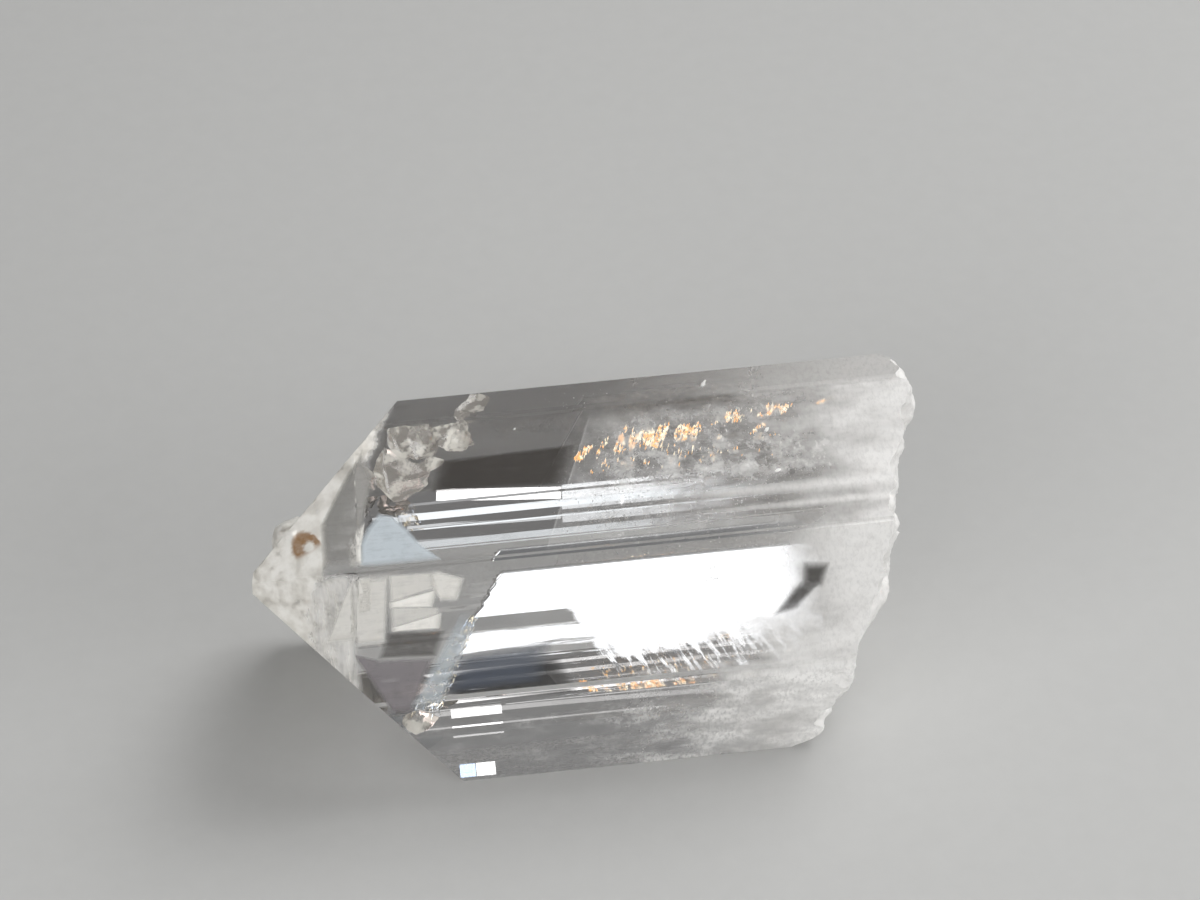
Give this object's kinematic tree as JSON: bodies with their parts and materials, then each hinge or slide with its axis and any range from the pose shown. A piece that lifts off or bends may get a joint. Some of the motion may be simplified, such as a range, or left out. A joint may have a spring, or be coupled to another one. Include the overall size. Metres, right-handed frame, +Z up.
{
  "type": "danburite crystal",
  "caption": "Clear danburite prism with a chisel tip and a rough broken base, lying on one of its flat faces.",
  "frame": {"origin": "the middle of the crystal's box, on the flat prism face that it rests on", "axes": "+X along the crystal from its tip to its broken base, +Z up, -Y towards the side with the front edge"},
  "size_m": [0.0302, 0.0112, 0.0147],
  "materials": {
    "danburite": "clear and glassy with fine growth lines, frosted at the tip, milky towards the broken base"
  },
  "bodies": {
    "root": {"danburite_crystal": "danburite"}
  },
  "joints": []
}
